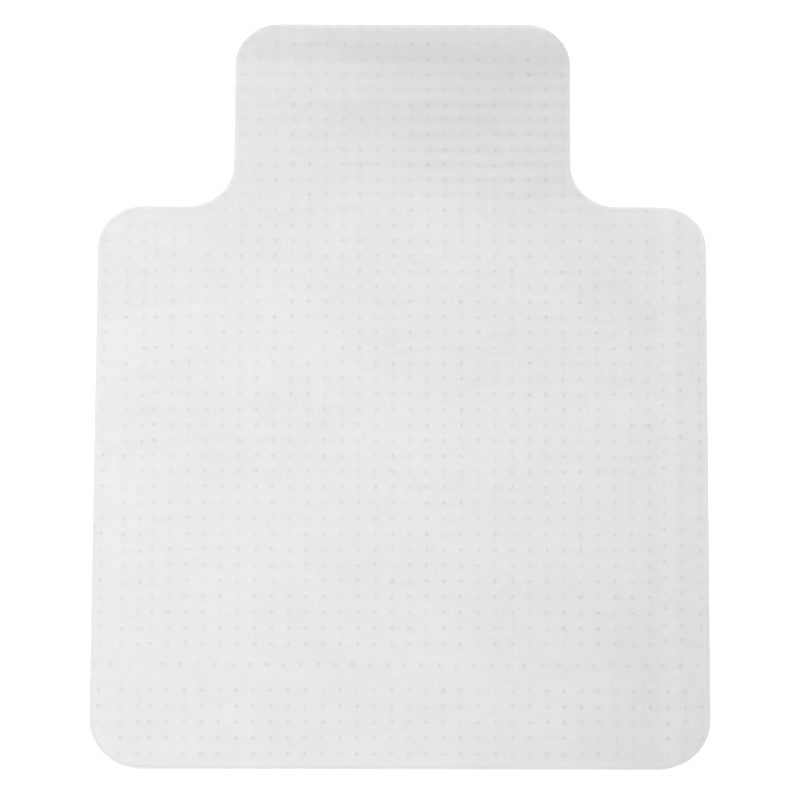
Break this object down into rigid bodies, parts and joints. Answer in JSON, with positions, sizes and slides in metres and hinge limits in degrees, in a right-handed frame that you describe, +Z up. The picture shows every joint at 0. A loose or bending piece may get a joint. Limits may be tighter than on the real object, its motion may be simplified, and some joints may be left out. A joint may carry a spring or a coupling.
{
  "type": "chair mat",
  "caption": "Flat translucent PVC chair mat with rounded corners, a narrower lip at one end, a bevelled rim and conical gripper studs underneath for carpet.",
  "frame": {"origin": "on the floor under the middle of the mat's length and width, level with the tips of the studs", "axes": "+Z up out of the rolling surface, +Y along the mat towards the lip that goes under the desk, +X to the right"},
  "size_m": [0.9144, 1.2192, 0.0073],
  "materials": {
    "frosted_pvc": "translucent PVC sheet with a fine frosted grain on top",
    "stud_pvc": "translucent PVC, smooth as moulded"
  },
  "bodies": {
    "root": {"mat_sheet": "frosted_pvc", "corner_studs": "stud_pvc", "front_studs": "stud_pvc", "left_ring_studs": "stud_pvc", "lip_studs": "stud_pvc", "panel_studs": "stud_pvc", "right_ring_studs": "stud_pvc", "seam_row_studs": "stud_pvc"}
  },
  "joints": []
}
